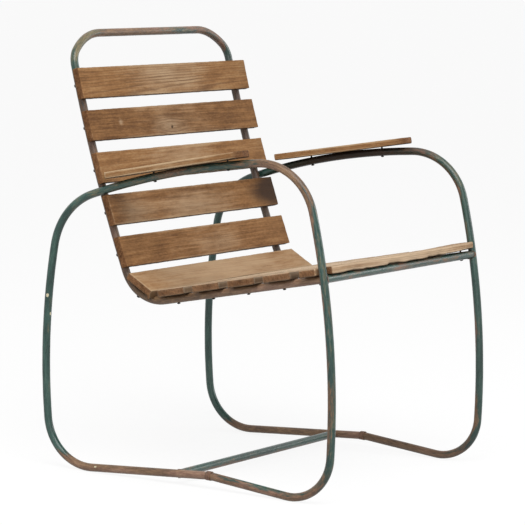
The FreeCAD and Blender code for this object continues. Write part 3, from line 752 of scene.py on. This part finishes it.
class Plank:
    """Where a CAD plank lies and how large it is, read from its node's broad face."""

    def __init__(self, node, runs_across):
        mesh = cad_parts[node].data
        areas = {}
        for polygon in mesh.polygons:
            facing = tuple(round(c, FACING_DIGITS) for c in polygon.normal)
            areas[facing] = areas.get(facing, 0.0) + polygon.area
        broad = Vector(max(areas, key=areas.get)).normalized()
        self.node = node
        self.up = broad if broad.z > 0 else -broad
        self.along = ACROSS if runs_across else ACROSS.cross(self.up)
        self.across = self.up.cross(self.along)
        axes = (self.along, self.across, self.up)
        spans = [[vertex.co.dot(axis) for vertex in mesh.vertices] for axis in axes]
        halfway = [(max(span) + min(span)) / 2 for span in spans]
        self.half = Vector([(max(span) - min(span)) / 2 for span in spans])
        self.centre = sum((axis * place for axis, place in zip(axes, halfway)), Vector())

    def world(self, point):
        return self.centre + self.along * point.x + self.across * point.y + self.up * point.z

    def turned(self, direction):
        return self.along * direction.x + self.across * direction.y + self.up * direction.z


def lines_between(low, high, step, extra=()):
    """Even grid lines with extra ones put in, and none crowded by them."""
    count = max(2, round((high - low) / step))
    even = [low + (high - low) * k / count for k in range(count + 1)]
    inner = [line for line in even[1:-1] if all(abs(line - x) > step * CROWDED for x in extra)]
    return sorted([low, high, *inner, *extra])


def plank_grid(half, notch):
    """Box with a grid of cells. notch is (x, y): corners beyond x and ahead of y are left out."""
    extra_x, extra_y = ((-notch[0], notch[0]), (notch[1],)) if notch else ((), ())
    xs = lines_between(-half.x, half.x, CELL_X, extra_x)
    ys = lines_between(-half.y, half.y, CELL_Y, extra_y)
    zs = lines_between(-half.z, half.z, CELL_Z)
    mesh = bmesh.new()
    made = {}

    def corner(i, j, k):
        if (i, j, k) not in made:
            made[i, j, k] = mesh.verts.new((xs[i], ys[j], zs[k]))
        return made[i, j, k]

    def kept(i, j):
        if not (0 <= i < len(xs) - 1 and 0 <= j < len(ys) - 1):
            return False
        x, y = (xs[i] + xs[i + 1]) / 2, (ys[j] + ys[j + 1]) / 2
        return not (notch and abs(x) > notch[0] and y < notch[1])

    top = len(zs) - 1
    for i in range(len(xs) - 1):
        for j in range(len(ys) - 1):
            if not kept(i, j):
                continue
            square = [(i, j), (i + 1, j), (i + 1, j + 1), (i, j + 1)]
            beside = [(i, j - 1), (i + 1, j), (i, j + 1), (i - 1, j)]
            mesh.faces.new([corner(*s, top) for s in square])
            mesh.faces.new([corner(*s, 0) for s in reversed(square)])
            for side, neighbour in enumerate(beside):
                if kept(*neighbour):
                    continue
                first, second = square[side], square[(side + 1) % 4]
                for k in range(top):
                    mesh.faces.new([corner(*first, k), corner(*second, k),
                                    corner(*second, k + 1), corner(*first, k + 1)])
    return mesh


def clip_plan(mesh, half, clip):
    """Draw the square front corners of the plan in to clipped ones with worn edges."""
    for vertex in mesh.verts:
        over = Vector((vertex.co.x - half.x + clip, abs(vertex.co.y) - half.y + clip))
        if min(over) > 0:
            reach = (over.x ** CLIP_WEAR + over.y ** CLIP_WEAR) ** (1 / CLIP_WEAR)
            shrunk = over * (max(over) / reach)
            vertex.co.x -= over.x - shrunk.x
            vertex.co.y -= copysign(over.y - shrunk.y, vertex.co.y)


def ease_edges(mesh, width):
    """Round every sharp edge of a plank."""
    mesh.normal_update()
    sharp = [edge for edge in mesh.edges if edge.calc_face_angle(0) > SHARP]
    bmesh.ops.bevel(mesh, geom=sharp, offset=width, segments=3, profile=0.5, affect="EDGES",
                    clamp_overlap=True)
    mesh.normal_update()


# Wear of the planks

# Each plank is cut from its own place in the wood's pattern and slants one way or the other
CUT_ALONG = 0.731
CUT_ASIDE, CUT_ASIDE_STEP, CUT_ASIDE_KINDS = 0.018, 0.011, 3
CUT_DEPTH, CUT_DEPTH_STEP, CUT_DEPTH_KINDS = -0.03, -0.009, 5
GRAIN_SLANT = 0.02

# Knots are dark and push the grain aside, more widely along the plank than across it
KNOT_ALONG, KNOT_ACROSS, KNOT_PUSH, KNOT_STAIN = 5, 2.2, 1.2, 1.3

# Wear in the middle of a plank and near its edges, stains at its ends, and painted shade below
INNER_WEAR, INNER_SHARE, EDGE_REACH = 0.28, 0.8, 0.003
END_STAIN, END_REACH, END_FADE = 0.12, 0.05, 1.6
SHADE_BELOW, LINED, SAW_GAIN = 0.8, 0.12, 2

# Hollows that are drawn out along the grain, and splinters off the edges. Undersides come down
# by the gap that the CAD model leaves between wood and tube.
HOLLOW_DEPTH, HOLLOW_SCALE = 0.0003, 130
SPLINTER_DEPTH, SPLINTER_SCALE = 0.0009, 300
GRAIN_DRAWN = 0.25
FACES_DOWN = -0.9
WOOD_GAP = 0.0003

# Bites out of a ragged front edge, a lower edge that is drawn down, and a lifted end
BITE_REACH, BITE_SHARE, BITE_LIFT = 0.007, 0.25, 0.6
BITE_SCALE_X, BITE_SCALE_Z, BITE_LAYER = 38, 60, 0.3
FOOT_REACH = 0.004
FOOT_DIRECTION = Vector((0, 0.6, 1))
LIFT_CURVE = 1.5


def spots(rows, x, y):
    """Strength at a place of soft elliptical spots: rows of (x, y, reach x, reach y, amount)."""
    total = 0.0
    for at_x, at_y, reach_x, reach_y, amount in rows:
        away = hypot((x - at_x) / reach_x, (y - at_y) / reach_y)
        total += amount * max(0.0, 1 - away)
    return total


def round_knots(knots, x, y):
    """How far grain is pushed aside by knots at a place: rows of (x, y, size)."""
    push = 0.0
    for at_x, at_y, size in knots:
        dx, dy = (x - at_x) / (KNOT_ALONG * size), (y - at_y) / (KNOT_ACROSS * size)
        push -= copysign(1, dy) * size * KNOT_PUSH * exp(-dx * dx - dy * dy)
    return push


def cut_from(seed):
    """Place in the wood's pattern that a plank is cut from."""
    return Vector((
        CUT_ALONG * seed,
        CUT_ASIDE + CUT_ASIDE_STEP * (seed % CUT_ASIDE_KINDS),
        CUT_DEPTH + CUT_DEPTH_STEP * (seed % CUT_DEPTH_KINDS)))


def wood_marks(plank, look, vertex, near_edge):
    """What the wood's material reads at a vertex, in the order of WOOD_MARKS."""
    x, y, _ = vertex.co
    half, outside = plank.half, vertex.normal
    inner = max(0.0, 1 - (x / (INNER_SHARE * half.x)) ** 2)
    worn = look["worn"] + INNER_WEAR * inner + look["edge"] * near_edge
    near_end = max(0.0, 1 - (half.x - abs(x)) / END_REACH)
    below = max(0.0, -plank.turned(outside).z)
    knots = sum(max(0.0, 1 - hypot(x - at_x, y - at_y) / size)
                for at_x, at_y, size in look["knots"])
    # Real stains at the ends and at knots, and painted shade on the undersides
    stain_and_shade = END_STAIN * near_end + SHADE_BELOW * below + KNOT_STAIN * knots
    return (
        look["tone"],
        max(0.0, 1 - END_FADE * (1 - abs(outside.x))),
        worn + spots(look["wear"], x, y),
        stain_and_shade + spots(look["stains_and_shade"], x, y),
        min(1.0, SAW_GAIN * spots(look["sawn"], x, y)),
        LINED + spots(look["lines"], x, y),
        look["pale"],
    )


def worn_spot(half, look, seed, vertex, near_edge):
    """Where wear takes a vertex of a plank."""
    x, y, z = vertex.co
    if vertex.normal.z < FACES_DOWN:
        hollow = -WOOD_GAP
    else:
        where = Vector((GRAIN_DRAWN * x, y, z)) + cut_from(seed)
        splinter = near_edge * relief(where, SPLINTER_SCALE) ** 2
        hollow = HOLLOW_DEPTH * relief(where, HOLLOW_SCALE) + SPLINTER_DEPTH * splinter
    spot = vertex.co - vertex.normal * hollow
    if y < -half.y + BITE_REACH:
        low_share = (half.z - z) / (2 * half.z)
        pattern = Vector((BITE_SCALE_X * x + seed, BITE_SCALE_Z * z, BITE_LAYER))
        bite = look["ragged"] * max(0.0, noise.noise(pattern) + BITE_SHARE)
        spot.y += bite * low_share
        spot.z += bite * BITE_LIFT * low_share ** 2
    if y < -half.y + FOOT_REACH and z < 0:
        spot -= FOOT_DIRECTION * look["foot"]
    spot.z += look["lift"] * max(0.0, x / half.x) ** LIFT_CURVE
    return spot


def wooden(plank, material, seed, look):
    """Worn plank that stands for a CAD one, with a look as LOOKS has them."""
    look = {**PLAIN_LOOK, **look}
    mesh = plank_grid(plank.half, look["notch"])
    if look["clip"]:
        clip_plan(mesh, plank.half, look["clip"])
    ease_edges(mesh, look["ease"])
    mesh.verts.index_update()
    slant = GRAIN_SLANT * (1 if seed % 2 else -1)
    vertices, grain, marks = [], [], []
    for vertex in mesh.verts:
        x, y, z = vertex.co
        near_edge = sum(h - abs(c) < EDGE_REACH for c, h in zip(vertex.co, plank.half)) > 1
        vertices.append(plank.world(worn_spot(plank.half, look, seed, vertex, near_edge)))
        place = Vector((x, y + round_knots(look["knots"], x, y), z + slant * x))
        grain.append(place + cut_from(seed))
        marks.append(wood_marks(plank, look, vertex, near_edge))
    faces = [[v.index for v in face.verts] for face in mesh.faces]
    mesh.free()
    made = piece(plank.node + "_plank", vertices, faces, material, plank.node)
    keep_vectors(made, "grain", grain)
    keep_marks(made, WOOD_MARKS, marks)


# How each plank differs from a plain one. wear, lines, stains and sawn are rows of spots; some
# stains are painted shade and one wear spot is painted light. ease rounds the edges, clip cuts the
# front corners, ragged bites into the front edge, foot draws its lower side down and lift raises
# the left end. X grows to the sitter's left along a slat and to the front along a board. Y grows
# upwards on a back slat and to the rear on a seat slat.
PLAIN_LOOK = {
    "tone": 0.0, "worn": 0.05, "edge": 0.25, "pale": 0.0,
    "wear": (), "lines": (), "stains_and_shade": (), "sawn": (), "knots": (),
    "ease": 0.0016, "notch": None, "clip": 0.0, "ragged": 0.0, "foot": 0.0, "lift": 0.0,
}
# Painted shade along a seat slat's front edge, where it faces the gap to the next slat.
SHADED_EDGE = [(0, -0.031, 2, 0.005, 0.75)]
BLEACHED = {"pale": 0.75, "worn": 0.45, "stains_and_shade": SHADED_EDGE}
BOARD_CLIP = 0.015
NOTCH = (0.287, -0.005)
LOOKS = {
    "back_slat_1": {
        "tone": 0.01, "wear": [(0, 0.01, 0.22, 0.06, 0.35)],
        "lines": [(0, -0.012, 0.45, 0.06, 0.7)], "stains_and_shade": [(0.29, 0, 0.12, 0.1, 0.3)]},
    "back_slat_2": {
        "tone": -0.07, "knots": [(-0.0209, -0.0155, 0.0075)],
        "lines": [(-0.02, -0.012, 0.12, 0.04, 0.5)],
        "wear": [(-0.03, -0.012, 0.08, 0.03, 0.35), (-0.2, 0.002, 0.012, 0.012, 0.6)]},
    "back_slat_3": {
        "tone": 0.01, "stains_and_shade": [(0.29, 0, 0.1, 0.1, 0.3)],
        "wear": [(0, 0, 0.2, 0.06, 0.2), (-0.25, 0.02, 0.05, 0.04, 0.3)]},
    "back_slat_4": {
        "tone": -0.05,
        # The second wear spot is painted light on the right end, where the right arm casts its
        # shadow.
        "wear": [(-0.02, -0.01, 0.2, 0.04, 0.3), (-0.24, -0.01, 0.1, 0.06, 0.5)],
        "stains_and_shade": [(0.29, 0.005, 0.13, 0.06, 1.2), (-0.27, 0.01, 0.09, 0.05, 0.1)]},
    "back_slat_5": {
        "tone": -0.03, "wear": [(0.05, -0.01, 0.12, 0.03, 0.2)],
        "sawn": [(0.04, -0.01, 0.07, 0.03, 0.8)]},
    "seat_slat_1": {
        "tone": 0.04, "worn": 0.45, "foot": 0.005,
        # Its stain is painted shade along its front edge, where it meets the next slat.
        "stains_and_shade": [(0.03, -0.031, 0.42, 0.006, 0.85)]},
    "seat_slat_2": {**BLEACHED, "tone": 0.02},
    "seat_slat_3": {**BLEACHED, "knots": [(0.12, 0.01, 0.0075)]},
    "seat_slat_4": {**BLEACHED, "tone": -0.03, "worn": 0.4},
    "seat_slat_5": {**BLEACHED, "tone": 0.03},
    "seat_slat_6": {
        "worn": 0.4, "pale": 0.45, "ease": 0.002, "notch": NOTCH, "ragged": 0.004, "lift": 0.004,
        "lines": [(0, -0.03, 0.6, 0.04, 0.2)],
        # The first stain is painted shade in the notch beside the right front leg.
        "stains_and_shade": [(-0.287, -0.018, 0.004, 0.02, 1.6), (0.3, -0.03, 0.14, 0.05, 0.4)]},
    "right_arm_board": {
        "tone": 0.01, "worn": 0.1, "edge": 0.5, "clip": BOARD_CLIP,
        "stains_and_shade": [(0.155, 0, 0.04, 0.08, 0.8)]},
    "left_arm_board": {
        "tone": -0.01, "worn": 0, "edge": 0.4, "clip": BOARD_CLIP,
        "stains_and_shade": [(0.155, 0, 0.06, 0.08, 0.6)]},
}

for seed, (name, look) in enumerate(LOOKS.items(), 1):
    if "slat" in name:
        wooden(Plank(name, True), SLAT_WOOD, seed, look)
    else:
        wooden(Plank(name, False), ARM_WOOD, seed, look)


# Screws

SCREW_STEPS = 20
SCREWS_APART = 0.04
SCREW_TURN = 0.9
HEAD_R = 0.0035
HEAD_RISE = 0.0024
HEAD_RIM = 0.0001
CROWN_SHARE = 0.8
DOME_DEGREES = range(0, 91, 18)
SHANK_R = 0.002
THREAD_STEP = 0.0007
THREAD_ROOT = 0.82
SLOT_HALF = 0.00045
SLOT_LIP = 1.2
SLOT_REACH = 1.05
SLOT_FLOOR = 0.0013


def islands(node):
    """Points of each separate solid of a node whose solids stand well apart."""
    groups = []
    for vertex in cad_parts[node].data.vertices:
        for group in groups:
            if (group[0] - vertex.co).length < SCREWS_APART:
                group.append(vertex.co)
                break
        else:
            groups.append([vertex.co])
    return groups


def screw_axis(points):
    """End of the shank, head's seat and direction from the seat to that end."""
    spread = np.array(points)
    centre = spread.mean(0)
    axis = np.linalg.svd(spread - centre)[2][0]
    run = (spread - centre) @ axis
    off = np.linalg.norm(spread - centre - np.outer(run, axis), axis=1)
    if run[off.argmax()] > 0:
        axis, run = -axis, -run
    tip = Vector(centre + axis * run.max())
    seat = Vector(centre + axis * (run.min() + HEAD_RISE))
    return tip, seat, Vector(axis)


def screw_profile(length):
    """Radius and height of a round head, and of a threaded shank, from the crown down."""
    dome = [(HEAD_R * sin(a), HEAD_RISE * (1 - (1 - cos(a)) * CROWN_SHARE))
            for a in map(radians, DOME_DEGREES)]
    turns = int(length / THREAD_STEP)
    thread = [(SHANK_R * (1.0 if k % 2 else THREAD_ROOT), -length * k / turns)
              for k in range(1, turns)]
    return [*dome, (HEAD_R, HEAD_RIM), (SHANK_R, 0.0), *thread, (0, -length)]


def screw_mesh(points, turn):
    """Slotted screw in the place of a CAD one, turned round its axis."""
    tip, seat, axis = screw_axis(points)
    mesh = bmesh.new()
    angles = [2 * pi * k / SCREW_STEPS for k in range(SCREW_STEPS)]
    rings = []
    for radius, height in screw_profile((tip - seat).length):
        if radius == 0:
            rings.append([mesh.verts.new((0, 0, height))])
        else:
            rings.append([mesh.verts.new((radius * cos(a), radius * sin(a), height))
                          for a in angles])
    for ring, following in zip(rings, rings[1:]):
        for k in range(SCREW_STEPS):
            corners = [ring[k % len(ring)], following[k % len(following)],
                       following[(k + 1) % len(following)], ring[(k + 1) % len(ring)]]
            mesh.faces.new(list(dict.fromkeys(corners)))
    for x in (-SLOT_HALF * SLOT_LIP, -SLOT_HALF, SLOT_HALF, SLOT_HALF * SLOT_LIP):
        bmesh.ops.bisect_plane(mesh, geom=mesh.verts[:] + mesh.edges[:] + mesh.faces[:],
                               plane_co=(x, 0, 0), plane_no=ACROSS, dist=1e-6)
    for vertex in mesh.verts:
        if abs(vertex.co.x) <= SLOT_HALF * SLOT_REACH and vertex.co.z > SLOT_FLOOR:
            vertex.co.z = SLOT_FLOOR
    place = Matrix.Translation(seat) @ (-axis).to_track_quat("Z", "X").to_matrix().to_4x4()
    mesh.transform(place @ Matrix.Rotation(turn, 4, "Z"))
    return mesh


def screws(node):
    """All the screws of a node as one piece, each turned its own way."""
    vertices, faces = [], []
    for number, points in enumerate(islands(node)):
        mesh = screw_mesh(points, SCREW_TURN * number)
        mesh.verts.index_update()
        first = len(vertices)
        vertices += [v.co.copy() for v in mesh.verts]
        faces += [[first + v.index for v in face.verts] for face in mesh.faces]
        mesh.free()
    piece(node + "_slotted", vertices, faces, SCREW, node)


for node in ("back_slat_screws", "seat_slat_screws", "arm_board_screws"):
    screws(node)


# Welds

BEAD_CELL = 0.0009
LUMP_SIZE = 0.005
LUMP_HEIGHT = 0.0016
LUMP_LEVEL = 0.6
SMOOTHINGS = 3


def lumpy(node):
    """Copy of a CAD node's weld beads with small even faces, pushed in and out."""
    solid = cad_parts[node].data
    vertices = [vertex.co for vertex in solid.vertices]
    faces = [tuple(polygon.vertices) for polygon in solid.polygons]
    bead = piece(node + "_beads", vertices, faces, WELD, node)
    remesh = bead.modifiers.new("even", "REMESH")
    remesh.mode = "VOXEL"
    remesh.voxel_size = BEAD_CELL
    remesh.use_smooth_shade = True
    texture = bpy.data.textures.new(node + "_lumps", "CLOUDS")
    texture.noise_scale = LUMP_SIZE
    lumps = bead.modifiers.new("lumps", "DISPLACE")
    lumps.texture = texture
    lumps.texture_coords = "GLOBAL"
    lumps.strength = LUMP_HEIGHT
    lumps.mid_level = LUMP_LEVEL
    smooth = bead.modifiers.new("smooth", "SMOOTH")
    smooth.iterations = SMOOTHINGS


for node in ("crossbar_welds", "front_corner_welds", "arm_welds", "runner_welds"):
    lumpy(node)


# Stage, light and camera

WHITE = (1, 1, 1, 1)
AMBIENT = 0.5
FLOOR_HALF = 60.0
FLOOR_GREY = (0.5, 0.5, 0.5, 1)
FLOOR_ROUGHNESS = 0.9
FLOOR_GLOW = 0.75
FLOOR_GLOW_STRENGTH = 1.16
LIT_POINT = Vector((0, 0, 0.45))
# Name, place, size and power
LIGHTS = (
    ("key_light", (-2.2, -1.6, 3.8), 3.0, 155),
    ("side_light", (2.8, -2.6, 1.5), 1.0, 30),
    ("fill_light", (-3.6, -2.6, 1.4), 2.0, 25),
)
CAMERA_PLACE = (-5.2172, -3.1552, 1.1178)
CAMERA_RIGHT = Vector((0.5224, -0.8521, 0.0322))
CAMERA_UP = Vector((0.0817, 0.0875, 0.9928))
CAMERA_AHEAD = Vector((0.8488, 0.516, -0.1153))
SENSOR_WIDTH = 36
FOCAL_LENGTH = 209.43
FARTHEST_SEEN = 300


def seen_directly(shader):
    """1 for rays of the camera and for mirrored or transmitted ones, else 0."""
    rays = shader.add("LightPath", {}).outputs
    total = rays["Is Camera Ray"]
    for name in ("Is Glossy Ray", "Is Transmission Ray"):
        larger = shader.add("Math", {0: total, 1: rays[name]}, operation="MAXIMUM")
        total = larger.outputs[0]
    return total


def floor_material():
    """White floor that keeps a pale shadow and stays white to the camera where it is lit."""
    shader = Shader(bpy.data.materials.new("floor_white"))
    glow = shader.add("Emission", {"Color": WHITE, "Strength": FLOOR_GLOW_STRENGTH})
    shader.put(shader.surface.inputs["Base Color"], FLOOR_GREY)
    shader.put(shader.surface.inputs["Roughness"], FLOOR_ROUGHNESS)
    share = shader.times(seen_directly(shader), FLOOR_GLOW)
    mixed = shader.add("MixShader", {0: share, 1: shader.surface.outputs[0], 2: glow.outputs[0]})
    shader.put(shader.tree.nodes["Material Output"].inputs["Surface"], mixed.outputs[0])
    return shader.owner


def stage_floor():
    plan = ((-1, -1), (1, -1), (1, 1), (-1, 1))
    corners = [(x * FLOOR_HALF, y * FLOOR_HALF, 0) for x, y in plan]
    mesh = bpy.data.meshes.new("floor")
    mesh.from_pydata(corners, [], [(0, 1, 2, 3)])
    mesh.materials.append(floor_material())
    floor = put_in_scene("floor", mesh)


def studio_world():
    """World that is white to the camera and gives a softer light all round."""
    shader = Shader(bpy.data.worlds.new("studio"), "Background")
    bpy.context.scene.world = shader.owner
    strength = shader.add("MapRange", {"Value": seen_directly(shader), "To Min": AMBIENT})
    shader.put(shader.surface.inputs["Color"], WHITE)
    shader.put(shader.surface.inputs["Strength"], strength.outputs["Result"])


def studio_lights():
    for name, place, size, power in LIGHTS:
        lamp = bpy.data.lights.new(name, "AREA")
        lamp.size = size
        lamp.energy = power
        made = put_in_scene(name, lamp)
        made.location = place
        made.rotation_euler = (LIT_POINT - Vector(place)).to_track_quat("-Z", "Y").to_euler()


def camera():
    """Camera as fitted to the photograph, looking slightly down and rolled a little."""
    lens = bpy.data.cameras.new("camera")
    lens.sensor_width = SENSOR_WIDTH
    lens.lens = FOCAL_LENGTH
    lens.clip_end = FARTHEST_SEEN
    made = put_in_scene("camera", lens)
    turn = Matrix((CAMERA_RIGHT, CAMERA_UP, -CAMERA_AHEAD)).transposed().to_4x4()
    made.matrix_world = Matrix.Translation(CAMERA_PLACE) @ turn
    bpy.context.scene.camera = made


stage_floor()
studio_world()
studio_lights()
camera()
bpy.context.scene.view_settings.view_transform = "Standard"
